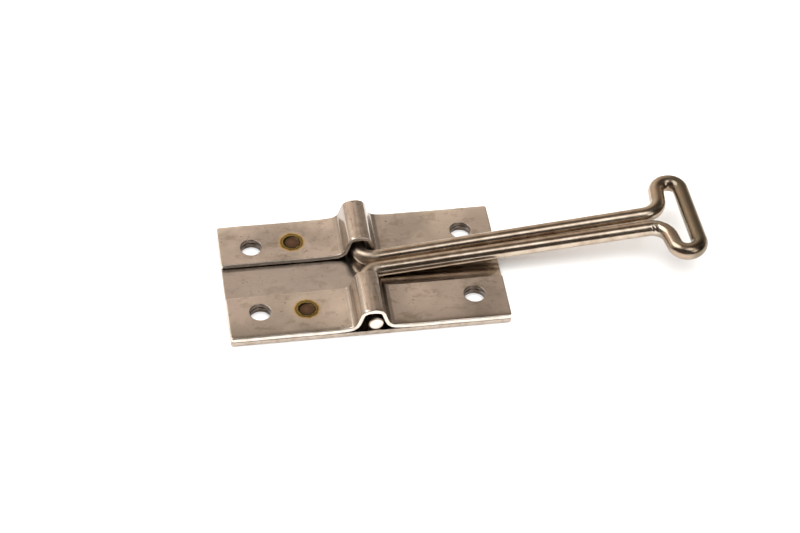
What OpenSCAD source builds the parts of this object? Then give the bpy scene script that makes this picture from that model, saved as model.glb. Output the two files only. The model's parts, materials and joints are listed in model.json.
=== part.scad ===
// Wire T-hook door holder, the hooked half: a two-layer sheet-metal hinge
// plate with two raised barrels, and a bent-wire hook that swings in them.
// Millimetres, +Z up. The origin is the middle of the plate's back face,
// which is also the middle of the four screw holes. +X runs along the plate
// towards the hook's head.

/* [Plate] */
// Length of the plate, along the hook
plate_l = 85; // [75:0.5:100]
// Width of the plate, along the hinge line
plate_w = 47.5; // [44:0.5:60]
// Thickness of the base plate
sheet_t = 1.5; // [1.2:0.1:1.6]
// Thickness of the two straps
strap_t = 1.3; // [1.1:0.1:1.5]
// Radius of the plate's corners, seen from above
corner_r = 0.9; // [0.5:0.1:2]
// Gap that the spot welds leave between the two layers
layer_gap = 0.4; // [0.2:0.05:0.4]
// Width of the channel between the two straps, where the hook lies
channel_w = 13.8; // [13.6:0.1:16]

/* [Screw holes] */
// Distance between the screw holes along the plate
hole_pitch_x = 65.4; // [60:0.2:68]
// Distance between the screw holes across the plate
hole_pitch_y = 27.4; // [25:0.2:30]
// Diameter of the screw holes
hole_d = 6.4; // [5:0.1:6.6]
// Broken edge round each screw hole, on the outside faces
hole_edge = 0.2; // [0.1:0.05:0.3]

/* [Barrels] */
// Place of the hinge line along the plate
hinge_x = 0.25; // [-2:0.05:2]
// Height of a barrel's top above the plate's back
barrel_top = 10.3; // [10.3:0.1:11]
// Half the flat on top of a barrel
barrel_flat = 1.15; // [1.1:0.05:1.5]
// Steepness of a barrel's sides, from the plate
barrel_slope = 74; // [70:1:76]
// Bend radius at a barrel's feet, to the middle of the sheet
foot_r = 2.9; // [2.7:0.1:3]
// Bend radius at a barrel's shoulders, to the middle of the sheet
shoulder_r = 2.1; // [1.9:0.1:2.2]

/* [Hook] */
// Diameter of the hook's wire
wire_d = 4.8; // [4:0.1:4.8]
// From the hinge line to the middle of the head's cross bar
hook_reach = 103.4; // [90:0.5:120]
// Length of each hinge pin, from the middle of the hook
pin_reach = 24.8; // [24.5:0.1:27]
// Bend radius from a pin into the shank
heel_r = 4.1; // [4:0.1:4.4]
// Gap between the two wires of the shank, at the hinge
gap_at_hinge = 0.1; // [0.1:0.05:0.3]
// Angle at which each wire of the shank leaves the hook's middle line
leg_spread = 0.36; // [0.1:0.02:0.6]
// Bend radius at the neck of the head
neck_r = 5.7; // [5:0.1:7]
// How far the wire turns outward at the neck
neck_turn = 82.6; // [78:0.2:90]
// Straight piece of wire beyond each neck bend
arm_l = 3.8; // [2:0.1:6]
// Bend radius at the two ends of the head
end_r = 3.9; // [3.6:0.1:5]
// Broken edge at the ends of the wire
wire_edge = 0.6; // [0.3:0.05:0.7]

/* [Resting position] */
// Rise of the hook from the plate, about the hinge line
hook_rise = 3.3; // [2.4:0.1:20]
// Slant of the hook in its loose barrels, seen from above
hook_slant = 2.2; // [-2.2:0.1:2.2]
// How far the hook has slid sideways in its barrels
hook_shift = 1.35; // [-1.3:0.05:1.35]
// Room between the pins and the plate under them
pin_room = 0.05; // [0.03:0.01:0.1]

/* [Spot welds] */
// Place of the rear strap's spot weld, along and across the plate
rear_weld_at = [-20, 14.6]; // [-25:0.1:-15] and [12:0.1:17]
// Place of the front strap's spot weld, along and across the plate
front_weld_at = [-18.7, -14]; // [-25:0.1:-15] and [-17:0.1:-12]
// Diameter of the fused spot between the layers
nugget_d = 4.6; // [4:0.1:5]
// How deep the fused spot reaches into each sheet
nugget_bite = 0.5; // [0.3:0.05:0.6]
// Diameter of the print that a welding electrode leaves
print_d = 4.8; // [4:0.1:5.5]
// Depth of that print
print_depth = 0.12; // [0.05:0.01:0.2]

/* [Hidden] */
$fn = 96;
strap_z = sheet_t + layer_gap;              // underside of the straps
strap_top = strap_z + strap_t;
strap_mid = strap_z + strap_t / 2;
strap_w = (plate_w - channel_w) / 2;
strap_y = (plate_w - strap_w) / 2;          // middle line of a strap
crest_mid = barrel_top - strap_t / 2;
pin_z = sheet_t + pin_room + wire_d / 2;    // height of the hinge line
over = 1;                                   // cutters run past by this much
bend_steps = 16;                            // flats that make up one bend of the sheet

// A barrel's section, from its middle outwards: crest flat, shoulder bend,
// straight side, foot bend, flat strap.
side_top = [barrel_flat + shoulder_r * sin(barrel_slope),
            crest_mid - shoulder_r * (1 - cos(barrel_slope))];
side_drop = side_top[1] - strap_mid - foot_r * (1 - cos(barrel_slope));
foot_x = side_top[0] + side_drop / tan(barrel_slope) + foot_r * sin(barrel_slope);

// The hook's wire, in the hook's own plane: its middle is y = 0, and x runs
// from the hinge line to the head.
leg_y0 = (wire_d + gap_at_hinge) / 2;
arm_x = hook_reach - end_r * (1 + sin(neck_turn));
neck_x = arm_x - arm_l * cos(neck_turn) - neck_r * (sin(neck_turn) - sin(leg_spread));
leg_l = (neck_x - heel_r * (1 + sin(leg_spread))) / cos(leg_spread);
neck_y = leg_y0 + leg_l * sin(leg_spread);
bar_half = neck_y + neck_r * (cos(leg_spread) - cos(neck_turn)) + arm_l * sin(neck_turn)
           - end_r * cos(neck_turn);
pin_l = pin_reach - leg_y0 - heel_r * cos(leg_spread);

// ---- flat stock -----------------------------------------------------------

// Rectangle with round corners
module rounded_rect(w, h, r) {
    square([w - 2 * r, h], center = true);
    square([w, h - 2 * r], center = true);
    for (sx = [-1, 1], sy = [-1, 1])
        translate([sx * (w / 2 - r), sy * (h / 2 - r)]) circle(r);
}

// Cutter for one screw hole from z0 up to z1, with a broken edge at the
// bottom or at the top
module screw_hole(z0, z1, edge_low, edge_high) {
    translate([0, 0, z0 - over]) cylinder(d = hole_d, h = z1 - z0 + 2 * over);
    if (edge_low)
        translate([0, 0, z0 - hole_edge])
            cylinder(d1 = hole_d + 4 * hole_edge, d2 = hole_d, h = 2 * hole_edge);
    if (edge_high)
        translate([0, 0, z1 - hole_edge])
            cylinder(d1 = hole_d, d2 = hole_d + 4 * hole_edge, h = 2 * hole_edge);
}

// Cutter for an electrode print that opens upwards at height z
module electrode_print(z) {
    translate([0, 0, z - print_depth])
        cylinder(d1 = print_d - 0.6, d2 = print_d + 0.6, h = 2 * print_depth);
}

// ---- barrel section -------------------------------------------------------

// Points [x, z] along an arc round c
function arc_points(c, r, from, to) =
    [for (i = [0 : bend_steps]) let (a = from + (to - from) * i / bend_steps)
        c + r * [cos(a), sin(a)]];

// One face of the strap from the barrel's middle to the plate's end, at the
// given distance above the middle of the sheet
function face_line(above) = concat(
    arc_points([barrel_flat, crest_mid - shoulder_r], shoulder_r + above, 90, 90 - barrel_slope),
    arc_points([foot_x, strap_mid + foot_r], foot_r - above, 270 - barrel_slope, 270),
    [[plate_l / 2 + over, strap_mid + above]]);

function backwards(points) = [for (i = [len(points) - 1 : -1 : 0]) points[i]];
function other_side(points) = [for (p = points) [-p[0], p[1]]];

module strap_section() {
    upper = face_line(strap_t / 2);
    lower = face_line(-strap_t / 2);
    polygon(concat(backwards(other_side(upper)), upper, backwards(lower), other_side(lower)));
}

module strap(side, weld_at) {
    difference() {
        intersection() {
            translate([hinge_x, side * strap_y + strap_w / 2, 0]) rotate([90, 0, 0])
                linear_extrude(strap_w) strap_section();
            linear_extrude(barrel_top + over) rounded_rect(plate_l, plate_w, corner_r);
        }
        for (sx = [-1, 1])
            translate([sx * hole_pitch_x / 2, side * hole_pitch_y / 2, 0])
                screw_hole(strap_z, strap_top, false, true);
        translate([weld_at[0], weld_at[1], 0]) electrode_print(strap_top);
    }
}

// ---- the sub-parts --------------------------------------------------------

module base_plate() {
    color([0.62, 0.57, 0.51]) difference() {
        linear_extrude(sheet_t) rounded_rect(plate_l, plate_w, corner_r);
        for (sx = [-1, 1], sy = [-1, 1])
            translate([sx * hole_pitch_x / 2, sy * hole_pitch_y / 2, 0])
                screw_hole(0, sheet_t, true, false);
        for (at = [rear_weld_at, front_weld_at])
            translate([at[0], at[1], 0]) rotate([180, 0, 0]) electrode_print(0);
    }
}

module rear_strap() {
    color([0.74, 0.67, 0.59]) strap(1, rear_weld_at);
}

module front_strap() {
    color([0.72, 0.65, 0.57]) strap(-1, front_weld_at);
}

module weld_nugget(at) {
    translate([at[0], at[1], sheet_t - nugget_bite])
        cylinder(d = nugget_d, h = layer_gap + 2 * nugget_bite);
}

module rear_weld() {
    color([0.45, 0.32, 0.22]) weld_nugget(rear_weld_at);
}

module front_weld() {
    color([0.45, 0.32, 0.22]) weld_nugget(front_weld_at);
}

// The wire is drawn as a chain: each piece starts at the origin heading +X,
// and hands its far end on to the next piece.
module run(l) {
    rotate([0, 90, 0]) cylinder(d = wire_d, h = l);
    translate([l, 0, 0]) children();
}

// A bend of the given radius that turns left, or right if the turn is negative.
// Its section is turned so that the seams of all pieces run along the underside.
module bend(r, turn) {
    dir = sign(turn);
    translate([0, dir * r, 0]) {
        rotate([0, 0, dir > 0 ? -90 : 90 + turn])
            rotate_extrude(angle = abs(turn)) translate([r, 0]) rotate(-90) circle(d = wire_d);
        rotate([0, 0, turn]) translate([0, -dir * r, 0]) children();
    }
}

// The cut end of the wire, with its edge broken
module cut_end() {
    rotate([0, 90, 0]) cylinder(d1 = wire_d, d2 = wire_d - 2 * wire_edge, h = wire_edge);
}

// The rear half of the wire, from the middle of the head's bar to a pin's end
module half_wire() {
    translate([hook_reach, 0, 0]) rotate([0, 0, 90])
        run(bar_half) bend(end_r, 90 + neck_turn)
        run(arm_l) bend(neck_r, leg_spread - neck_turn)
        run(leg_l) bend(heel_r, -90 - leg_spread)
        run(pin_l - wire_edge) cut_end();
}

module wire_hook() {
    color([0.55, 0.48, 0.40])
        translate([hinge_x, hook_shift, pin_z])
            rotate([0, 0, hook_slant]) rotate([0, -hook_rise, 0]) {
                half_wire();
                mirror([0, 1, 0]) half_wire();
            }
}

base_plate();
rear_strap();
front_strap();
rear_weld();
front_weld();
wire_hook();
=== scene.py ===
"""Wire T-hook door holder: detailed sheet-metal plate, welded straps and bent-wire hook.

The pieces are built in millimetres, in the row's frame, and scaled to metres as meshes are made.
"""
import json
import math

import bpy
import numpy as np
from mathutils import Matrix, Vector
from mathutils.geometry import delaunay_2d_cdt


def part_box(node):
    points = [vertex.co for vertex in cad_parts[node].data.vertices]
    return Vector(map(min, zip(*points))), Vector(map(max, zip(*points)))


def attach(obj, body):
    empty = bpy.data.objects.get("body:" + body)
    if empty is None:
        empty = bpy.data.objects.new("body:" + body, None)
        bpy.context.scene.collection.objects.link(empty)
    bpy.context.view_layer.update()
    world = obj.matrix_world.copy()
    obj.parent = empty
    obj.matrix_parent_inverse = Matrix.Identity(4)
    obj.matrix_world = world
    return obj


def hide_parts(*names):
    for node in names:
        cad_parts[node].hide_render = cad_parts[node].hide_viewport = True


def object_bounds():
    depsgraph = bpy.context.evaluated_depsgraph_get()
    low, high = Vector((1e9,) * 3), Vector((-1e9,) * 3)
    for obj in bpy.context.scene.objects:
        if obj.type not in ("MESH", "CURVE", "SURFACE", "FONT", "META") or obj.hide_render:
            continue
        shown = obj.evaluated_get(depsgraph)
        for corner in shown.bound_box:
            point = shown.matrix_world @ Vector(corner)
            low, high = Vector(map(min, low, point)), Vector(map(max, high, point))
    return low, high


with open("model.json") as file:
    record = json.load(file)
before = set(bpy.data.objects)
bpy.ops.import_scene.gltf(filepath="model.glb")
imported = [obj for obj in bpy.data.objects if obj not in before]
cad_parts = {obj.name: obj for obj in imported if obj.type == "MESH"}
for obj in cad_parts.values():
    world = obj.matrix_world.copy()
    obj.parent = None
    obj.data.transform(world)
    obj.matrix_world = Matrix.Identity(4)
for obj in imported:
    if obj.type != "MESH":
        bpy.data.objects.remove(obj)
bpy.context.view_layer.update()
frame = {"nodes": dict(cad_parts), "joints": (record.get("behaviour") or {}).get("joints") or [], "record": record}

MM = 0.001

# ---------------------------------------------------------------- sizes shared with part.scad

STRAP_T = 1.3
CORNER_R = 0.9
CHANNEL_CORNER_R = 0.35
BARREL_FLAT = 1.15
BARREL_SLOPE = math.radians(74)
FOOT_R = 2.9
SHOULDER_R = 2.1
WIRE_R = 2.4
HOOK_REACH = 103.4
PIN_REACH = 24.8
HEEL_R = 4.1
GAP_AT_HINGE = 0.1
LEG_SPREAD = math.radians(0.36)
NECK_R = 5.7
NECK_TURN = math.radians(82.6)
ARM_L = 3.8
END_R = 3.9
HOOK_RISE = math.radians(3.3)
REAR_WELD = (-20.0, 14.6)
FRONT_WELD = (-18.7, -14.0)
PRINT_R = 2.4            # of the print that a welding electrode leaves
PRINT_DEPTH = 0.12

# ---------------------------------------------------------------- sizes from the frame


def box_mm(node):
    low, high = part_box(node)
    return np.array(low) / MM, np.array(high) / MM


base_low, base_high = box_mm("base_plate")
strap_low, strap_high = box_mm("rear_strap")
mounts = {m["name"]: m for m in frame["record"]["mounts"]}
holes = mounts["screw_holes"]["dims"]
hinge = frame["joints"][0]

PLATE_L = base_high[0] - base_low[0]
PLATE_W = base_high[1] - base_low[1]
SHEET_T = base_high[2] - base_low[2]
STRAP_W = strap_high[1] - strap_low[1]
BARREL_TOP = strap_high[2]
STRAP_MID = strap_low[2] + STRAP_T / 2
HOLE_X = holes["spacing_x_mm"] / 2
HOLE_Y = holes["spacing_y_mm"] / 2
HOLE_R = holes["hole_r_mm"]
HINGE = np.array(hinge["pos_m"]) / MM
SLANT = math.atan2(hinge["axis"][0], -hinge["axis"][1])

# ---------------------------------------------------------------- small details made only here, in mm

PRINT_LIP = 0.025        # height of the lip round an electrode's print
WALL_THINNING = 0.16     # share of the strap's thickness lost in the barrels' drawn sides
CROWN = 0.14             # fall of a barrel's top at the ends of its nearly flat part
LIFT = 0.28              # how far the strap is pulled up at a barrel's foot, and how far out this shows
LIFT_REACH = 10.0
ROLL, ROLL_REACH = 0.10, 1.3      # the sheared edge rolled down, within this distance of it
DROOP, DROOP_REACH = 0.11, 6.0    # the wider droop towards the same edge
HEAD_HALF = 15.1         # y of the head's outer ends, in the hook's own plane
TOOL_MARK_AT = (91.3, -4.9, 1.7)  # middle of the bending tool's marks, in the hook's own plane
TOOL_MARK_DEPTH = 0.18
TOOL_MARK_REACH = 1.5
TOOL_TOOTH = 0.9         # distance from one tooth's mark to the next

# ---------------------------------------------------------------- mesh helpers

OUTLINE_STEP = 1.2       # longest edge along a sheet's outline
HOLE_STEPS = 64
SUPPORT = 0.25           # width of the ring on a flat face that borders a rounded edge
FACE, CUT, BORE, UNDERSIDE = range(4)      # a sheet's material slots


def make_object(name, vertices_mm, faces, material, uv=None):
    mesh = bpy.data.meshes.new(name)
    mesh.from_pydata([tuple(MM * c for c in v) for v in vertices_mm], [], faces)
    mesh.update()
    mesh.polygons.foreach_set("use_smooth", [True] * len(mesh.polygons))
    if uv is not None:
        layer = mesh.uv_layers.new(name="wire")
        for loop in mesh.loops:
            layer.data[loop.index].uv = uv[loop.vertex_index]
    mesh.materials.append(material)
    obj = bpy.data.objects.new(name, mesh)
    bpy.context.scene.collection.objects.link(obj)
    return obj


def rounded_rect(low, high, radii, inset, steps=10):
    """Outline of a rectangle shrunk by inset; radii go round from the low-low corner, anticlockwise."""
    corners = [(low[0], low[1], 180), (high[0], low[1], 270),
               (high[0], high[1], 0), (low[0], high[1], 90)]
    points = []
    for (x, y, start), radius in zip(corners, radii):
        r = max(radius - inset, 0.02)
        cx = x + (radius if x == low[0] else -radius)
        cy = y + (radius if y == low[1] else -radius)
        for i in range(steps + 1):
            a = math.radians(start + 90 * i / steps)
            points.append((cx + r * math.cos(a), cy + r * math.sin(a)))
    return points


def circle(centre, r, n):
    return [(centre[0] + r * math.cos(2 * math.pi * i / n), centre[1] + r * math.sin(2 * math.pi * i / n))
            for i in range(n)]


def ease(t):
    """A smooth step from 0 to 1."""
    return t * t * (3 - 2 * t)


def edge_profile(thickness, top_round, bottom_round, steps=5):
    """(inset, height) pairs down a sheet's cut edge, from a ring on its top face to one on its bottom."""
    half = thickness / 2
    turns = np.linspace(0, math.pi / 2, steps + 1)
    top = [(top_round * (1 - math.sin(a)), half - top_round * (1 - math.cos(a))) for a in turns]
    bottom = [(bottom_round * (1 - math.cos(a)), -half + bottom_round * (1 - math.sin(a))) for a in turns]
    return [(top_round + SUPPORT, half)] + top + bottom + [(bottom_round + SUPPORT, -half)]


def outline_rings(low, high, radii, profile):
    """Rings of points round the rectangle's edge, one for each entry of the edge's profile."""
    plain = rounded_rect(low, high, radii, 0.0)
    counts = [max(1, math.ceil(math.dist(p, q) / OUTLINE_STEP))
              for p, q in zip(plain, plain[1:] + plain[:1])]
    rings = []
    for inset, height in profile:
        exact = rounded_rect(low, high, radii, inset)
        ring = []
        for n, p, q in zip(counts, exact, exact[1:] + exact[:1]):
            ring += [(p[0] + (q[0] - p[0]) * i / n, p[1] + (q[1] - p[1]) * i / n, height)
                     for i in range(n)]
        rings.append(ring)
    return rings


def hole_rings(centre, profile):
    """Rings of points down a hole's wall, one for each entry of the wall's profile."""
    return [[(x, y, height) for x, y in circle(centre, HOLE_R + inset, HOLE_STEPS)]
            for inset, height in profile]


def fill_sheet(loops, interior, hole_places, rim):
    """Triangles over the sheet between the loops' first rings, each with its middle.

    Corners are numbered through the first rings and then through the interior points. Triangles
    nearer than rim to a hole's middle are left out.
    """
    flat, edges = [], []
    for rings in loops:
        start, n = len(flat), len(rings[0])
        flat += [(p[0], p[1]) for p in rings[0]]
        edges += [(start + i, start + (i + 1) % n) for i in range(n)]
    flat += interior
    result = delaunay_2d_cdt([Vector(p) for p in flat], edges, [], 1, 1e-6)
    places, triangles, originals = result[0], result[2], result[3]
    kept = []
    for triangle in triangles:
        middle = [sum(places[i][axis] for i in triangle) / 3 for axis in range(2)]
        if all(math.dist(middle, hole) > rim for hole in hole_places):
            kept.append(([originals[i][0] for i in triangle], middle))
    return kept


def sheet_piece(name, low, high, radii, hole_places, interior, place, thickness, materials,
                top_round=0.3, bottom_round=0.1, hole_round=0.18, shaded=None):
    """A closed sheet of the given thickness over a rectangle with holes.

    materials are those of its faces, its cut edges, its hole walls and, if there is a fourth, the
    underside where shaded(u, v) is true, which carries painted shade.
    place(u, v, h) says where the point h above the middle of the sheet goes; interior lists (u, v)
    points inside the sheet that its faces pass through.
    """
    outer = edge_profile(thickness, top_round, bottom_round)
    inner = edge_profile(thickness, hole_round, bottom_round)
    loops = [outline_rings(low, high, radii, outer)] + [hole_rings(hole, inner) for hole in hole_places]
    rim = 0.998 * (HOLE_R + inner[0][0])     # just inside the holes' first rings
    kept = fill_sheet(loops, interior, hole_places, rim)
    half = thickness / 2
    vertices = []

    def add(u, v, h):
        vertices.append(place(u, v, h))
        return len(vertices) - 1

    ring_ids = [[[add(*p) for p in ring] for ring in rings] for rings in loops]
    top_ids = [i for rings in ring_ids for i in rings[0]] + [add(u, v, half) for u, v in interior]
    bottom_ids = [i for rings in ring_ids for i in rings[-1]] + [add(u, v, -half) for u, v in interior]
    faces = [tuple(top_ids[i] for i in t) for t, _ in kept]
    faces += [tuple(bottom_ids[i] for i in reversed(t)) for t, _ in kept]
    slots = [FACE] * len(kept)
    slots += [UNDERSIDE if shaded and shaded(u, v) else FACE for _, (u, v) in kept]
    for number, rings in enumerate(ring_ids):
        outside = number == 0
        for step, (a, b) in enumerate(zip(rings, rings[1:])):
            cut = 3 <= step < len(rings) - 2
            for i in range(len(a)):
                j = (i + 1) % len(a)
                quad = (a[i], b[i], b[j], a[j])
                faces.append(quad if outside else quad[::-1])
                slots.append((CUT if outside else BORE) if cut else FACE)
    piece = make_object(name, vertices, faces, materials[0])
    for material in materials[1:]:
        piece.data.materials.append(material)
    piece.data.polygons.foreach_set("material_index", slots)
    return piece


# ---------------------------------------------------------------- the plate's two kinds of sheet

PRINT_RINGS = (0.7, 1.3, 1.8, 2.0, 2.15, 2.3, 2.45, 2.6, 2.8, 3.1)   # radii that a print's mesh follows
HOLE_MARGIN = 0.9        # no interior point is nearer than this to a hole's wall
PRINT_MARGIN = 0.3       # nor than this to a print's outermost ring
BARREL_LINES = 141       # mesh lines over a barrel
FLAT_STEP = 1.6          # between mesh lines on a strap's flat parts
BASE_STEP = 2.0          # between mesh lines on the back plate


def print_dip(distance):
    """Depth of an electrode's print at this distance from its middle, with its small raised lip."""
    floor_end, lip, lip_end = PRINT_R - 0.35, PRINT_R + 0.15, PRINT_R + 0.6
    if distance < floor_end:
        return PRINT_DEPTH
    if distance < lip:
        t = (distance - floor_end) / (lip - floor_end)
        return PRINT_DEPTH * (1 - ease(t)) - PRINT_LIP * t
    if distance < lip_end:
        return -PRINT_LIP * (1 - ease((distance - lip) / (lip_end - lip)))
    return 0.0


def print_points(centre):
    """Interior points over an electrode's print."""
    return [centre] + [p for r in PRINT_RINGS for p in circle(centre, r, 40)]


def clear_points(columns, rows, hole_places, prints):
    """The grid's points that lie clear of the holes and of the prints."""
    points = []
    for u in columns:
        for v in rows:
            off_holes = all(math.dist((u, v), c) > HOLE_R + HOLE_MARGIN for c in hole_places)
            off_prints = all(math.dist((u, v), c) > PRINT_RINGS[-1] + PRINT_MARGIN for c in prints)
            if off_holes and off_prints:
                points.append((float(u), float(v)))
    return points


CREST_MID = BARREL_TOP - STRAP_T / 2
SHOULDER_LEN = SHOULDER_R * BARREL_SLOPE
FOOT_LEN = FOOT_R * BARREL_SLOPE
SHOULDER_END = (BARREL_FLAT + SHOULDER_R * math.sin(BARREL_SLOPE),
                CREST_MID - SHOULDER_R * (1 - math.cos(BARREL_SLOPE)))
SIDE_DROP = SHOULDER_END[1] - STRAP_MID - FOOT_R * (1 - math.cos(BARREL_SLOPE))
SIDE_LEN = SIDE_DROP / math.sin(BARREL_SLOPE)
FOOT_X = SHOULDER_END[0] + SIDE_DROP / math.tan(BARREL_SLOPE) + FOOT_R * math.sin(BARREL_SLOPE)
S_SHOULDER = BARREL_FLAT
S_SIDE = S_SHOULDER + SHOULDER_LEN
S_FOOT = S_SIDE + SIDE_LEN
S_FLAT = S_FOOT + FOOT_LEN


def strap_section(s):
    """Middle of the sheet at distance s from the barrel's crest: (x, z, lean of the normal)."""
    if s < S_SHOULDER:
        return s, CREST_MID, 0.0
    if s < S_SIDE:
        a = (s - S_SHOULDER) / SHOULDER_R
        return BARREL_FLAT + SHOULDER_R * math.sin(a), CREST_MID - SHOULDER_R * (1 - math.cos(a)), a
    if s < S_FOOT:
        d = s - S_SIDE
        return (SHOULDER_END[0] + d * math.cos(BARREL_SLOPE), SHOULDER_END[1] - d * math.sin(BARREL_SLOPE),
                BARREL_SLOPE)
    if s < S_FLAT:
        a = BARREL_SLOPE - (s - S_FOOT) / FOOT_R
        return FOOT_X - FOOT_R * math.sin(a), STRAP_MID + FOOT_R * (1 - math.cos(a)), a
    return FOOT_X + s - S_FLAT, STRAP_MID, 0.0


def along_strap(x):
    """Distance from the crest, along the sheet, of a place x on the strap's flat parts."""
    d = x - HINGE[0]
    return math.copysign(abs(d) - FOOT_X + S_FLAT, d)


def lift_by_barrel(s):
    """How far the pressing has pulled the sheet up around a barrel's foot."""
    outside = s - S_FLAT
    if outside >= LIFT_REACH:
        return 0.0
    if outside >= 0:
        return LIFT * (1 - outside / LIFT_REACH) ** 3
    inside = -outside / S_FLAT
    return LIFT * (1 + 3 * inside * S_FLAT / LIFT_REACH * (1 - inside)) * (1 - inside ** 2)


def crown(s):
    """How far a barrel's top falls away from flat, towards its shoulders."""
    if s <= S_SHOULDER:
        return CROWN * (s / S_SHOULDER) ** 2
    if s >= S_FLAT:
        return 0.0
    beyond = s - S_SHOULDER
    fade = ease(beyond / (S_FLAT - S_SHOULDER))
    return CROWN * (1 + 2 / S_SHOULDER * beyond * math.exp(-beyond / 1.2)) * (1 - fade)


def ripple(u, v, side):
    """Waves of a few hundredths of a millimetre that pressing and welding leave in the flat parts."""
    if abs(u) < S_FLAT:
        return 0.0
    fade = min(1.0, (abs(u) - S_FLAT) / 6)
    waves = (0.030 * math.sin(u / 4.6 + 0.9 * side) * math.cos(v / 6.0)
             + 0.022 * math.sin(u / 3.1 - v / 4.0 + side) + 0.012 * math.cos(u / 1.9 + v / 2.6))
    return fade * waves


def edge_droop(distance):
    """How far the sheared long edge is rolled down, at this distance from it."""
    return (ROLL * max(0.0, 1 - distance / ROLL_REACH) ** 2
            + DROOP * max(0.0, 1 - distance / DROOP_REACH) ** 2)


def strap_piece(name, side, weld, materials):
    """The strap on this side (1 rear, -1 front): u runs along the bent sheet, v across it."""
    inside_edge, edge = side * (PLATE_W / 2 - STRAP_W), side * PLATE_W / 2
    low = (along_strap(-PLATE_L / 2), min(inside_edge, edge))
    high = (along_strap(PLATE_L / 2), max(inside_edge, edge))
    outer, inner = CORNER_R, CHANNEL_CORNER_R
    radii = [inner, inner, outer, outer] if side > 0 else [outer, outer, inner, inner]
    weld_uv = (along_strap(weld[0]), weld[1])
    hole_places = [(along_strap(sx * HOLE_X), side * HOLE_Y) for sx in (-1, 1)]

    def place(u, v, h):
        x, z, lean = strap_section(abs(u))
        x, lean = math.copysign(x, u), math.copysign(lean, u)
        h *= 1 - WALL_THINNING * abs(math.sin(lean))
        h -= print_dip(math.dist((u, v), weld_uv)) if h > 0 else 0.0
        z += lift_by_barrel(abs(u)) + ripple(u, v, side) - crown(abs(u))
        z -= edge_droop(abs(v - edge)) * min(1.0, max(0.0, abs(u) / S_FLAT - 0.7) / 0.5)
        return (HINGE[0] + x + h * math.sin(lean), v, z + h * math.cos(lean))

    # the mesh's lines: close together over the barrel and near the long edges, wider elsewhere
    columns = list(np.linspace(-S_FLAT, S_FLAT, BARREL_LINES))
    columns += [u for u in np.arange(low[0] + 1.0, high[0] - 0.8, FLAT_STEP) if abs(u) > S_FLAT + 0.6]
    near_edge = [0.7, 1.0, 1.4, 2.0, 2.8, 3.8]
    rows = [low[1] + d for d in near_edge] + [high[1] - d for d in near_edge]
    rows += list(np.linspace(low[1] + 4.9, high[1] - 4.9, 7))
    interior = print_points(weld_uv) + clear_points(sorted(columns), rows, hole_places, [weld_uv])
    # the underside under the barrels gets the painted shade
    piece = sheet_piece(name, low, high, radii, hole_places, interior, place, STRAP_T, materials,
                        shaded=lambda u, v: abs(u) < S_FLAT + 0.5)
    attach(piece, "bracket")
    return piece


def base_piece(name, materials):
    """The flat back plate, with the electrodes' prints on its underside."""
    low = (-PLATE_L / 2, -PLATE_W / 2)
    high = (PLATE_L / 2, PLATE_W / 2)
    hole_places = [(sx * HOLE_X, sy * HOLE_Y) for sx in (-1, 1) for sy in (-1, 1)]
    prints = (REAR_WELD, FRONT_WELD)

    def place(u, v, h):
        if h < 0:
            h += sum(print_dip(math.dist((u, v), p)) for p in prints)
        return u, v, h + SHEET_T / 2

    columns, rows = (np.arange(low[axis] + 1.5, high[axis] - 1, BASE_STEP) for axis in range(2))
    interior = [p for centre in prints for p in print_points(centre)]
    interior += clear_points(columns, rows, hole_places, prints)
    piece = sheet_piece(name, low, high, [CORNER_R] * 4, hole_places, interior, place, SHEET_T,
                        materials, top_round=0.12, bottom_round=0.08, hole_round=0.12)
    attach(piece, "bracket")
    return piece


# ---------------------------------------------------------------- the wire hook

WIRE_SIDES = 56
RUN_STEP = 1.0           # between rings on the wire's straight runs
BEND_STEP = math.radians(3)
PIN_END_ROUND = 0.65     # rounding of the pins' end faces
PIN_END_RADII = (0.25, 0.9, 1.5)       # rings on a pin's flat end face
HEAD_START = HOOK_REACH - 14           # the wire swells from here to 6 mm further on


def hook_path():
    """Middle line of the wire in the hook's own plane, from the front pin's end to the rear pin's.

    Each entry is (x, y, heading). The rear half is walked from the bar's middle and then mirrored.
    """
    arm_x = HOOK_REACH - END_R * (1 + math.sin(NECK_TURN))
    neck_x = arm_x - ARM_L * math.cos(NECK_TURN) - NECK_R * (math.sin(NECK_TURN) - math.sin(LEG_SPREAD))
    leg_y = WIRE_R + GAP_AT_HINGE / 2
    leg_l = (neck_x - HEEL_R * (1 + math.sin(LEG_SPREAD))) / math.cos(LEG_SPREAD)
    neck_y = leg_y + leg_l * math.sin(LEG_SPREAD)
    bar_half = (neck_y + NECK_R * (math.cos(LEG_SPREAD) - math.cos(NECK_TURN))
                + ARM_L * math.sin(NECK_TURN) - END_R * math.cos(NECK_TURN))
    pin_l = PIN_REACH - leg_y - HEEL_R * math.cos(LEG_SPREAD)
    x, y, heading = HOOK_REACH, 0.0, math.pi / 2
    points = [(x, y, heading)]

    def run(length):
        nonlocal x, y
        n = max(1, math.ceil(length / RUN_STEP))
        for _ in range(n):
            x += length / n * math.cos(heading)
            y += length / n * math.sin(heading)
            points.append((x, y, heading))

    def bend(radius, turn):
        nonlocal x, y, heading
        side = math.copysign(1, turn)
        cx, cy = x - side * radius * math.sin(heading), y + side * radius * math.cos(heading)
        first = heading
        n = max(6, math.ceil(abs(turn) / BEND_STEP))
        for i in range(1, n + 1):
            heading = first + turn * i / n
            x, y = cx + side * radius * math.sin(heading), cy - side * radius * math.cos(heading)
            points.append((x, y, heading))

    run(bar_half)
    bend(END_R, math.pi / 2 + NECK_TURN)
    run(ARM_L)
    bend(NECK_R, LEG_SPREAD - NECK_TURN)
    run(leg_l)
    bend(HEEL_R, -math.pi / 2 - LEG_SPREAD)
    run(pin_l)
    front = [(px, -py, math.pi - ph) for px, py, ph in reversed(points[1:])]
    return front + [(px, py, ph) for px, py, ph in points]


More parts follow.
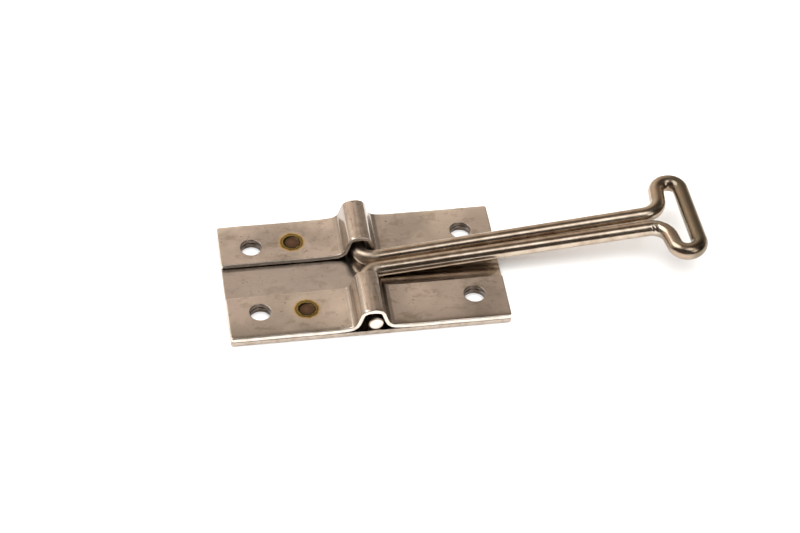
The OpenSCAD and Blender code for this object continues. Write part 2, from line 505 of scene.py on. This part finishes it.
def from_hook_plane(point):
    """Where a point given in the hook's own plane is, in mm, with the hook at rest."""
    p = Matrix.Rotation(SLANT, 3, "Z") @ Matrix.Rotation(-HOOK_RISE, 3, "Y") @ Vector(point)
    return p[0] + HINGE[0], p[1] + HINGE[1], p[2] + HINGE[2]


def swelling(x, y):
    """How much the wire bulges where it was bent tightly, at the head's two ends."""
    into_head = min(1.0, max(0.0, (x - HEAD_START) / 6))
    return into_head * (0.05 + 0.03 * math.exp(-((abs(y) - HEAD_HALF) / 3.0) ** 2))


def tool_mark(point):
    """Depth of the marks of the bending tool's jaw, on the front wire just before the head."""
    x, y, z = (point[i] - TOOL_MARK_AT[i] for i in range(3))
    reach = math.exp(-(x * x + y * y + z * z) / TOOL_MARK_REACH ** 2)
    return TOOL_MARK_DEPTH * reach * (0.6 + 0.4 * math.cos(2 * math.pi * (x + 0.5 * y) / TOOL_TOOTH))


def hook_piece(name, materials):
    """The wire, as rings swept along its path; materials are those of the wire and of the pins' ends."""
    path = hook_path()
    vertices, uv, rings = [], [], []
    pin_end = [(0.0, radius) for radius in PIN_END_RADII]
    pin_end += [(PIN_END_ROUND * (1 - math.cos(a)), WIRE_R - PIN_END_ROUND * (1 - math.sin(a)))
                for a in np.linspace(0, math.pi / 2, 6)]

    def ring(x, y, heading, radius, along):
        nx, ny = -math.sin(heading), math.cos(heading)
        rings.append([len(vertices) + i for i in range(WIRE_SIDES)])
        for i in range(WIRE_SIDES):
            a = 2 * math.pi * i / WIRE_SIDES
            out, up = math.cos(a), math.sin(a)
            r = radius
            if x + nx * radius * out > TOOL_MARK_AT[0] - 6:
                r -= tool_mark((x + nx * radius * out, y + ny * radius * out, radius * up))
            vertices.append(from_hook_plane((x + nx * r * out, y + ny * r * out, r * up)))
            uv.append((along * MM, WIRE_R * a * MM))

    x, y, heading = path[0]
    for back, radius in pin_end:
        ring(x + back * math.cos(heading), y + back * math.sin(heading), heading, radius, 0.0)
    length = 0.0
    for (xa, ya, _), (x, y, heading) in zip(path, path[1:-1]):
        length += math.dist((xa, ya), (x, y))
        ring(x, y, heading, WIRE_R * (1 + swelling(x, y)), length)
    x, y, heading = path[-1]
    for back, radius in reversed(pin_end):
        ring(x - back * math.cos(heading), y - back * math.sin(heading), heading, radius, length)
    faces, slots = [tuple(reversed(rings[0])), tuple(rings[-1])], [1, 1]
    flat_rings = len(PIN_END_RADII) + 1
    for number, (a, b) in enumerate(zip(rings, rings[1:])):
        on_end = number < flat_rings or number >= len(rings) - 1 - flat_rings
        for i in range(WIRE_SIDES):
            j = (i + 1) % WIRE_SIDES
            faces.append((a[i], a[j], b[j], b[i]))
            slots.append(1 if on_end else 0)
    piece = make_object(name, vertices, faces, materials[0], uv)
    piece.data.materials.append(materials[1])
    piece.data.polygons.foreach_set("material_index", slots)
    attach(piece, "hook")
    return piece


# ---------------------------------------------------------------- node helpers


class Nodes:
    """A short way to write a node tree."""

    def __init__(self, tree):
        self.tree = tree
        self.tree.nodes.clear()

    def link(self, a, b):
        self.tree.links.new(a, b)

    def node(self, kind, **values):
        """A new node; each value goes to the input of that name, or else to the node's property."""
        n = self.tree.nodes.new(kind)
        for key, value in values.items():
            if key not in n.inputs:
                setattr(n, key, value)
            elif isinstance(value, bpy.types.NodeSocket):
                self.link(value, n.inputs[key])
            else:
                n.inputs[key].default_value = value
        return n

    def math(self, operation, a, b=None):
        n = self.tree.nodes.new("ShaderNodeMath")
        n.operation = operation
        for i, value in enumerate((a, b)):
            if isinstance(value, bpy.types.NodeSocket):
                self.link(value, n.inputs[i])
            elif value is not None:
                n.inputs[i].default_value = value
        return n.outputs[0]

    def plus(self, a, b):
        return self.math("ADD", a, b)

    def minus(self, a, b):
        return self.math("SUBTRACT", a, b)

    def times(self, a, b):
        return self.math("MULTIPLY", a, b)

    def ramp(self, value, stops):
        """The value's colour between stops of (position, grey or colour)."""
        n = self.tree.nodes.new("ShaderNodeValToRGB")
        elements = n.color_ramp.elements
        while len(elements) > 1:
            elements.remove(elements[-1])
        elements[0].position = stops[0][0]
        elements[0].color = colour(stops[0][1])
        for position, value_or_colour in stops[1:]:
            elements.new(position).color = colour(value_or_colour)
        self.link(value, n.inputs["Fac"])
        return n.outputs["Color"]

    def mix(self, factor, a, b, blend="MIX"):
        n = self.tree.nodes.new("ShaderNodeMix")
        n.data_type = "RGBA"
        n.blend_type = blend
        n.clamp_factor = True
        for socket, value in ((n.inputs[0], factor), (n.inputs[6], a), (n.inputs[7], b)):
            if isinstance(value, bpy.types.NodeSocket):
                self.link(value, socket)
            elif socket == n.inputs[0]:
                socket.default_value = value
            else:
                socket.default_value = colour(value)
        return n.outputs[2]

    def noise(self, vector, scale, detail=3.0, rough=0.5, distortion=0.0):
        n = self.node("ShaderNodeTexNoise", Vector=vector, Scale=scale, Detail=detail,
                      Roughness=rough, Distortion=distortion)
        return n.outputs["Fac"]

    def stretched(self, vector, scale):
        n = self.node("ShaderNodeMapping", Vector=vector)
        n.inputs["Scale"].default_value = scale
        return n.outputs[0]

    def scaled(self, base, gain):
        """The colour made lighter or darker by this factor."""
        return self.mix(1.0, base, (gain, gain, gain), "MULTIPLY")

    def between(self, value, start, end, kind="SMOOTHSTEP"):
        """0 to 1 as the value goes from start to end."""
        n = self.node("ShaderNodeMapRange", Value=value, interpolation_type=kind)
        n.inputs["From Min"].default_value = start
        n.inputs["From Max"].default_value = end
        return n.outputs[0]

    def axis(self, vector, letter):
        return self.node("ShaderNodeSeparateXYZ", Vector=vector).outputs[letter]

    def distance(self, place, point_mm):
        """How far, in metres, the place is from a point that is given in mm."""
        n = self.node("ShaderNodeVectorMath", operation="DISTANCE")
        self.link(place, n.inputs[0])
        n.inputs[1].default_value = [c * MM for c in point_mm]
        return n.outputs["Value"]


def colour(value):
    if isinstance(value, (int, float)):
        return (value, value, value, 1.0)
    return (*value, 1.0) if len(value) == 3 else tuple(value)


class Surface(Nodes):
    """A material's node tree, with its shader and the place in the object's own coordinates."""

    def __init__(self, name):
        self.material = bpy.data.materials.new(name)
        self.material.use_nodes = True
        super().__init__(self.material.node_tree)
        self.shader = self.node("ShaderNodeBsdfPrincipled")
        self.link(self.shader.outputs[0], self.node("ShaderNodeOutputMaterial").inputs["Surface"])
        self.place = self.node("ShaderNodeTexCoord").outputs["Object"]

    def metal(self, base, rough, height, strength, depth):
        """Make it a metal of this colour and roughness, with this relief; returns the material."""
        self.link(base, self.shader.inputs["Base Color"])
        self.link(rough, self.shader.inputs["Roughness"])
        self.shader.inputs["Metallic"].default_value = 1.0
        bump = self.node("ShaderNodeBump", Height=height, Strength=strength, Distance=depth)
        self.link(bump.outputs[0], self.shader.inputs["Normal"])
        return self.material


# ---------------------------------------------------------------- materials

# soft lighter and darker patches on the sheets, the darker one at (37, -17) painted shade and reflection of the
# hook over the front strap: x, y and radius in mm, and how bright
SHEET_PATCHES = ((-28, 15, 13, 0.74), (-12, -16, 10, 1.24), (37, -17, 15, 0.80), (16, -12, 10, 1.16),
          (-34, -20, 9, 0.86), (30, 19, 9, 1.16), (14, 15, 11, 0.86), (-14, -21, 9, 0.9),
          (-12, 15, 8, 0.84))
HEAT_REACH = 0.0063      # of the heat's tint round a weld; the stops below are shares of it
HEAT_TINTS = ((0.0, (0.20, 0.12, 0.075)), (0.20, (0.15, 0.085, 0.05)), (0.33, (0.11, 0.065, 0.035)),
              (0.37, (0.02, 0.014, 0.009)), (0.41, (0.05, 0.035, 0.015)), (0.44, (0.34, 0.26, 0.09)),
              (0.48, (0.36, 0.25, 0.07)), (0.52, (0.13, 0.09, 0.03)), (0.56, (0.42, 0.27, 0.05)),
              (0.62, (0.80, 0.55, 0.22)))


def sheet_patches(n, base, broad):
    """Large soft lighter and darker patches with ragged borders; the one on the front strap's right end is painted
    shade of the hook.
    """
    ragged = n.times(n.minus(broad, 0.5), 0.03)
    for x, y, size, gain in SHEET_PATCHES:
        away = n.plus(n.distance(n.place, (x, y, STRAP_MID)), ragged)
        near = n.between(away, size * MM, 0.35 * size * MM)
        base = n.mix(near, base, n.scaled(base, gain))
    return base


def sheet_wear(n, base):
    """Pits, specks and thin wandering scratches: the colour, the pits' mask and the scratches' mask."""
    pits = n.ramp(n.noise(n.place, 620, 2.0, 0.5), [(0.705, 0.0), (0.735, 1.0)])
    dust = n.noise(n.stretched(n.place, (0.5, 1, 1)), 1900, 1.0, 0.5)
    specks = n.ramp(dust, [(0.72, 0.0), (0.78, 1.0)])
    base = n.mix(n.times(pits, 0.75), base, (0.06, 0.04, 0.03))
    base = n.mix(n.times(specks, 0.7), base, (0.10, 0.07, 0.05))
    wander = n.noise(n.stretched(n.place, (1, 2.2, 1)), 130, 1.0, 0.4)
    line = n.math("ABSOLUTE", n.minus(wander, 0.47))
    gate = n.ramp(n.noise(n.place, 320, 1.0, 0.5), [(0.52, 0.0), (0.62, 1.0)])
    scratch = n.times(n.ramp(line, [(0.0, 1.0), (0.0045, 0.0)]), gate)
    return n.mix(n.times(scratch, 0.35), base, (0.13, 0.09, 0.06)), pits, scratch


def barrel_marks_and_painted_shade(n, base):
    """Draw marks, partly painted reflection streaks, and painted shade on what stands above the flat sheet,
    darkest on its walls and feet: the colour and the marks' mask.
    """
    raised = n.between(n.axis(n.place, "Z"), (STRAP_MID + 3.0) * MM, (BARREL_TOP - 0.4) * MM, "LINEAR")
    # lengthwise streaks and warmer bands on the raised parts: draw marks, and partly painted reflection streaks of
    # the barrels' curves
    draw_and_reflection_lines = n.noise(n.stretched(n.place, (1100, 90, 300)), 1.0, 3.0, 0.5)
    streak = n.times(n.ramp(draw_and_reflection_lines, [(0.50, 0.0), (0.66, 1.0)]), raised)
    broad = n.noise(n.stretched(n.place, (420, 60, 200)), 1.0, 2.0, 0.5)
    warm = n.times(n.ramp(broad, [(0.42, 0.0), (0.60, 1.0)]), raised)
    base = n.mix(n.times(warm, 0.5), base, (0.58, 0.48, 0.39))
    base = n.mix(n.times(streak, 0.35), base, (0.26, 0.20, 0.15))
    # painted shade: everything raised is made a tenth darker
    base = n.mix(raised, base, n.scaled(base, 0.90))
    normal = n.node("ShaderNodeTexCoord").outputs["Normal"]
    lean = n.math("ABSOLUTE", n.axis(normal, "X"))
    # painted shade: the steep walls darker, by how far their normal leans to the side
    wall_shade = n.ramp(lean, [(0.2, 0.0), (0.5, 0.35), (0.92, 1.0)])
    base = n.mix(n.times(wall_shade, 0.85), base, (0.32, 0.265, 0.22))
    # painted shade: the feet of the barrels darker, to dull their reflection
    foot = n.times(n.ramp(lean, [(0.06, 0.0), (0.25, 0.55)]), n.minus(1.0, raised))
    return n.mix(foot, base, (0.26, 0.22, 0.185)), streak


def weld_marks(n, base, light, welds):
    """Heat tints round the electrodes' prints: the colour and the prints' own mask."""
    near = [n.distance(n.place, (x, y, STRAP_MID + STRAP_T / 2)) for x, y in welds]
    wobble = n.times(n.minus(n.noise(n.place, 900, 2.0, 0.5), 0.5), 0.0009)
    reach = n.math("DIVIDE", n.plus(n.math("MINIMUM", *near), wobble), HEAT_REACH)
    burnt = n.ramp(reach, [*HEAT_TINTS, (0.72, light)])
    base = n.mix(n.ramp(reach, [(0.54, 1.0), (0.74, 0.0)]), base, burnt)
    return base, n.ramp(reach, [(0.36, 1.0), (0.44, 0.0)])


def steel_sheet(name, tints, roughness, welds=(), barrels=False):
    """Mill-finish stainless sheet: rolling lines along X, stains in three tints, pits and scratches.

    With barrels, lengthwise draw marks, partly painted reflection streaks, show on everything that
    stands above the flat sheet, with painted shade over it, darkest on walls and feet. There are two welds or
    none.
    """
    n = Surface(name)
    light, pink, olive = tints
    rolled = n.noise(n.stretched(n.place, (50, 2400, 2400)), 1.0, 3.0, 0.6)
    broad = n.noise(n.place, 60, 3.0, 0.6, 0.2)
    cloud = n.noise(n.stretched(n.place, (1.0, 1.5, 1.0)), 170, 6.0, 0.66, 0.15)
    fine = n.noise(n.place, 1500, 3.0, 0.6)
    base = n.mix(n.ramp(broad, [(0.38, 0.0), (0.60, 1.0)]), light, pink)
    base = n.mix(n.ramp(cloud, [(0.52, 0.0), (0.62, 0.55), (0.74, 0.9)]), base, olive)
    base = n.mix(n.ramp(fine, [(0.40, 0.0), (0.62, 0.08)]), base, tuple(0.62 * c for c in light))
    # lighter and darker patches; the darker one on the front strap's right end is painted shade and reflection of
    # the hook
    base = sheet_patches(n, base, broad)
    base, pits, scratch = sheet_wear(n, base)
    height = n.minus(n.minus(n.times(rolled, 0.2), pits), n.times(scratch, 0.5))
    rough = n.plus(n.plus(n.times(rolled, 0.08), roughness - 0.08), n.times(cloud, 0.08))
    if barrels:
        # draw marks, partly painted reflection streaks, and painted shade on the barrels
        base, streak = barrel_marks_and_painted_shade(n, base)
        height = n.minus(height, n.times(streak, 0.3))
    if welds:
        base, prints = weld_marks(n, base, light, welds)
        rough = n.plus(rough, n.times(prints, 0.18))
    return n.metal(base, rough, height, 0.22, 0.00003)


def cut_edge(name, tint, dark_tint, roughness):
    """Sheared or punched steel: torn grain across the thickness, rougher than the faces. In very dark tints it is
    also the painted shade under the barrels and, with real oxide, in the holes.
    """
    n = Surface(name)
    torn = n.noise(n.stretched(n.place, (2600, 2600, 500)), 1.0, 3.0, 0.6)
    stain = n.noise(n.place, 500, 4.0, 0.6)
    base = n.ramp(stain, [(0.36, dark_tint), (0.58, tint)])
    rough = n.plus(n.times(torn, 0.2), roughness - 0.1)
    return n.metal(base, rough, torn, 0.3, 0.00003)


def drawn_wire(name, tint, dark_tint, roughness):
    """Drawn wire: fine die lines along its length, and browner stains on the head, most on its bar."""
    n = Surface(name)
    along = n.node("ShaderNodeUVMap", uv_map="wire").outputs[0]
    lines = n.noise(n.stretched(along, (50, 4200, 1)), 1.0, 2.0, 0.5)
    x = n.axis(n.place, "X")
    head = n.between(x, (HOOK_REACH - 17) * MM, (HOOK_REACH - 8) * MM)
    bar = n.between(x, (HOOK_REACH - 4.5) * MM, (HOOK_REACH - 1.5) * MM)
    heel = n.between(x, 7 * MM, 3 * MM)
    patches = n.noise(n.place, 170, 4.0, 0.6)
    base = n.ramp(n.noise(n.place, 260, 4.0, 0.6), [(0.38, dark_tint), (0.6, tint)])
    for mask, amount, tints in ((head, 0.85, ((0.36, 0.305, 0.235), (0.37, 0.275, 0.20))),
                                (bar, 0.9, ((0.18, 0.15, 0.105), (0.22, 0.16, 0.105)))):
        rust = n.ramp(patches, [(0.44, tints[0]), (0.60, tints[1])])
        base = n.mix(n.times(mask, amount), base, rust)
    away = n.math("DIVIDE", n.distance(n.place, from_hook_plane(TOOL_MARK_AT)), 2 * TOOL_MARK_REACH * MM)
    torn = n.noise(n.stretched(n.place, (1, 0.35, 1)), 2600, 2.0, 0.6)
    marked = n.times(n.ramp(away, [(0.35, 1.0), (0.8, 0.0)]), n.ramp(torn, [(0.42, 0.0), (0.52, 1.0)]))
    base = n.mix(n.times(marked, 0.6), base, (0.95, 0.86, 0.76))
    bends = n.plus(n.times(head, 0.04), n.times(heel, 0.19))
    rough = n.plus(n.plus(n.times(lines, 0.04), roughness - 0.02), bends)
    return n.metal(base, rough, lines, 0.05, 0.00002)


# ---------------------------------------------------------------- build the object

base_steel = steel_sheet("base_steel", ((0.68, 0.62, 0.56), (0.63, 0.56, 0.51), (0.50, 0.44, 0.385)), 0.2)
strap_steel = steel_sheet("strap_steel", ((0.70, 0.63, 0.55), (0.76, 0.67, 0.60), (0.48, 0.41, 0.32)), 0.2,
                          (REAR_WELD, FRONT_WELD), barrels=True)
cut_steel = cut_edge("cut_steel", (0.86, 0.78, 0.70), (0.70, 0.61, 0.52), 0.4)
base_cut_steel = cut_edge("base_cut_steel", (0.58, 0.49, 0.41), (0.44, 0.35, 0.27), 0.4)
pin_steel = cut_edge("pin_steel", (0.95, 0.88, 0.80), (0.80, 0.71, 0.62), 0.45)
# the holes' walls: torn, oxidised punched steel, made darker still as painted shade down in the holes
hole_oxide_and_shade_steel = cut_edge("hole_oxide_and_shade_steel", (0.17, 0.13, 0.10), (0.07, 0.05, 0.035), 0.34)
# painted shade: a near-black finish for the straps' underside under and inside the barrels
painted_shade_steel = cut_edge("painted_shade_steel", (0.12, 0.09, 0.065), (0.05, 0.035, 0.025), 0.4)
wire_steel = drawn_wire("wire_steel", (0.54, 0.45, 0.36), (0.42, 0.33, 0.25), 0.205)
weld_steel = cut_edge("weld_steel", (0.36, 0.27, 0.20), (0.26, 0.18, 0.12), 0.4)

base = base_piece("base_plate_detail", [base_steel, base_cut_steel, hole_oxide_and_shade_steel])
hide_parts("base_plate")
for node, side, weld in (("rear_strap", 1, REAR_WELD), ("front_strap", -1, FRONT_WELD)):
    strap = strap_piece(node + "_detail", side, weld, [strap_steel, cut_steel, hole_oxide_and_shade_steel, painted_shade_steel])
    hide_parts(node)
hook = hook_piece("wire_hook_detail", [wire_steel, pin_steel])
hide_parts("wire_hook")
for node in ("rear_weld", "front_weld"):
    mesh = frame["nodes"][node].data
    mesh.materials.clear()
    mesh.materials.append(weld_steel)

# ---------------------------------------------------------------- floor, light and camera

CAMERA_TARGET = Vector((12.33, 3.29, 0.0)) * MM
CAMERA_AZIMUTH = math.radians(10.02)      # towards the plate's left
CAMERA_ELEVATION = math.radians(45.99)
CAMERA_ROLL = math.radians(2.34)
CAMERA_DISTANCE = 0.7533
SENSOR_MM = 36.0
LENS_MM = 109.827
FLOOR_HALF = 6.0
FLOOR_GAP = 0.00005      # between the floor and the lowest piece

# colour of the surroundings that the metal sees, by the turn from the rear horizon (0) over the top
# to the camera's horizon (1)
STUDIO_OVER = ((0.0, (0.40, 0.33, 0.27)), (0.035, (0.45, 0.38, 0.31)), (0.08, (0.86, 0.75, 0.65)),
               (0.17, (0.84, 0.73, 0.62)), (0.25, (0.68, 0.57, 0.485)), (0.31, (0.22, 0.18, 0.14)),
               (0.39, (0.13, 0.105, 0.08)), (0.47, (0.26, 0.23, 0.20)), (0.52, (0.26, 0.23, 0.20)),
               (0.57, (0.05, 0.038, 0.028)), (0.84, (0.04, 0.03, 0.022)), (0.92, (0.10, 0.085, 0.07)),
               (1.0, (0.10, 0.085, 0.07)))
# share of it that is left, from the far left (0) to the far right (1)
STUDIO_ACROSS = ((0.0, 0.80), (0.12, 0.88), (0.22, 0.78), (0.30, 0.86), (0.38, 0.95), (0.47, 0.82),
                 (0.56, 0.63), (0.63, 0.38), (0.78, 0.28), (0.86, 0.34), (1.0, 0.75))

# light boxes that only the metal's highlights show: name, place and size in metres, radiance
SOFT_BOXES = (("overhead", (0.25, -0.33, 0.8), (0.55, 0.32), 2.3),
              ("left_box", (-0.40, 0.22, 0.66), (0.5, 0.6), 3.6),
              ("head_box", (0.50, -0.60, 0.50), (0.3, 0.3), 3.0))
OVERHEAD_TURN = math.radians(135)         # the overhead box faces straight down, turned by this
FILL = ("fill", (0.0, 0.0, 1.6), (3.4, 3.4), 2.9)
STUDIO_STRENGTH = 1.55
SEEN_STUDIO = (0.95, 0.95, 0.95, 1)       # what the camera sees of the surroundings


def add_camera():
    """The camera at the photo's angle, found by fitting the plate's and the hook's outlines."""
    towards = Vector((-math.sin(CAMERA_AZIMUTH) * math.cos(CAMERA_ELEVATION),
                      -math.cos(CAMERA_AZIMUTH) * math.cos(CAMERA_ELEVATION),
                      math.sin(CAMERA_ELEVATION)))
    right = Vector((math.cos(CAMERA_AZIMUTH), -math.sin(CAMERA_AZIMUTH), 0.0))
    up = towards.cross(right).normalized()
    cos, sin = math.cos(CAMERA_ROLL), math.sin(CAMERA_ROLL)
    right, up = cos * right + sin * up, cos * up - sin * right
    data = bpy.data.cameras.new("camera")
    data.sensor_width = SENSOR_MM
    data.lens = LENS_MM
    data.clip_start = 0.01
    camera = bpy.data.objects.new("camera", data)
    turn = Matrix((right, up, towards)).transposed().to_4x4()
    camera.matrix_world = Matrix.Translation(CAMERA_TARGET + towards * CAMERA_DISTANCE) @ turn
    bpy.context.scene.collection.objects.link(camera)
    bpy.context.scene.camera = camera


def add_area(name, place, size, radiance):
    """A rectangular light aimed at the frame's origin, as bright to look at as the radiance says."""
    data = bpy.data.lights.new(name, "AREA")
    data.shape = "RECTANGLE"
    data.size, data.size_y = size
    data.energy = radiance * math.pi * size[0] * size[1]
    light = bpy.data.objects.new(name, data)
    light.location = place
    light.rotation_euler = (-Vector(place)).to_track_quat("-Z", "Y").to_euler()
    bpy.context.scene.collection.objects.link(light)
    return light


def add_lights():
    """Soft boxes for the highlights, and a wide fill that lights the floor and no highlight."""
    for box in SOFT_BOXES:
        add_area(*box).visible_diffuse = False
    bpy.data.objects["overhead"].rotation_euler = (0, 0, OVERHEAD_TURN)
    add_area(*FILL).visible_glossy = False


def add_floor():
    """A plain pale matte floor just under the plate's back face."""
    n = Surface("floor")
    grain = n.noise(n.place, 30, 2.0, 0.5)
    n.link(n.ramp(grain, [(0.3, 0.90), (0.7, 0.93)]), n.shader.inputs["Base Color"])
    n.shader.inputs["Roughness"].default_value = 0.9
    n.shader.inputs["Specular IOR Level"].default_value = 0.1
    corners = [(FLOOR_HALF * x, FLOOR_HALF * y, 0) for x, y in ((-1, -1), (1, -1), (1, 1), (-1, 1))]
    mesh = bpy.data.meshes.new("floor")
    mesh.from_pydata(corners, [], [(0, 1, 2, 3)])
    mesh.materials.append(n.material)
    floor = bpy.data.objects.new("floor", mesh)
    floor.location.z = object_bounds()[0][2] - FLOOR_GAP
    bpy.context.scene.collection.objects.link(floor)


def add_world():
    """The studio that the metal reflects; the camera itself sees plain pale surroundings.

    It is bright low down behind, mildly bright overhead and dark on the camera's side, and the left
    is brighter than the right.
    """
    world = bpy.data.worlds.new("studio")
    bpy.context.scene.world = world
    world.use_nodes = True
    n = Nodes(world.node_tree)
    direction = n.node("ShaderNodeTexCoord").outputs["Generated"]
    x, y, z = (n.axis(direction, letter) for letter in "XYZ")
    turn = n.math("DIVIDE", n.math("ARCTAN2", z, y), math.pi)
    across = n.between(x, -1.0, 1.0, "LINEAR")
    shade = n.mix(1.0, n.ramp(turn, STUDIO_OVER), n.ramp(across, STUDIO_ACROSS), "MULTIPLY")
    metal_view = n.node("ShaderNodeBackground", Color=shade, Strength=STUDIO_STRENGTH)
    plain_view = n.node("ShaderNodeBackground", Color=SEEN_STUDIO, Strength=1.0)
    choice = n.node("ShaderNodeMixShader")
    n.link(n.node("ShaderNodeLightPath").outputs["Is Camera Ray"], choice.inputs[0])
    n.link(metal_view.outputs[0], choice.inputs[1])
    n.link(plain_view.outputs[0], choice.inputs[2])
    n.link(choice.outputs[0], n.node("ShaderNodeOutputWorld").inputs["Surface"])


add_camera()
add_floor()
add_world()
add_lights()
bpy.context.scene.view_settings.view_transform = "Standard"
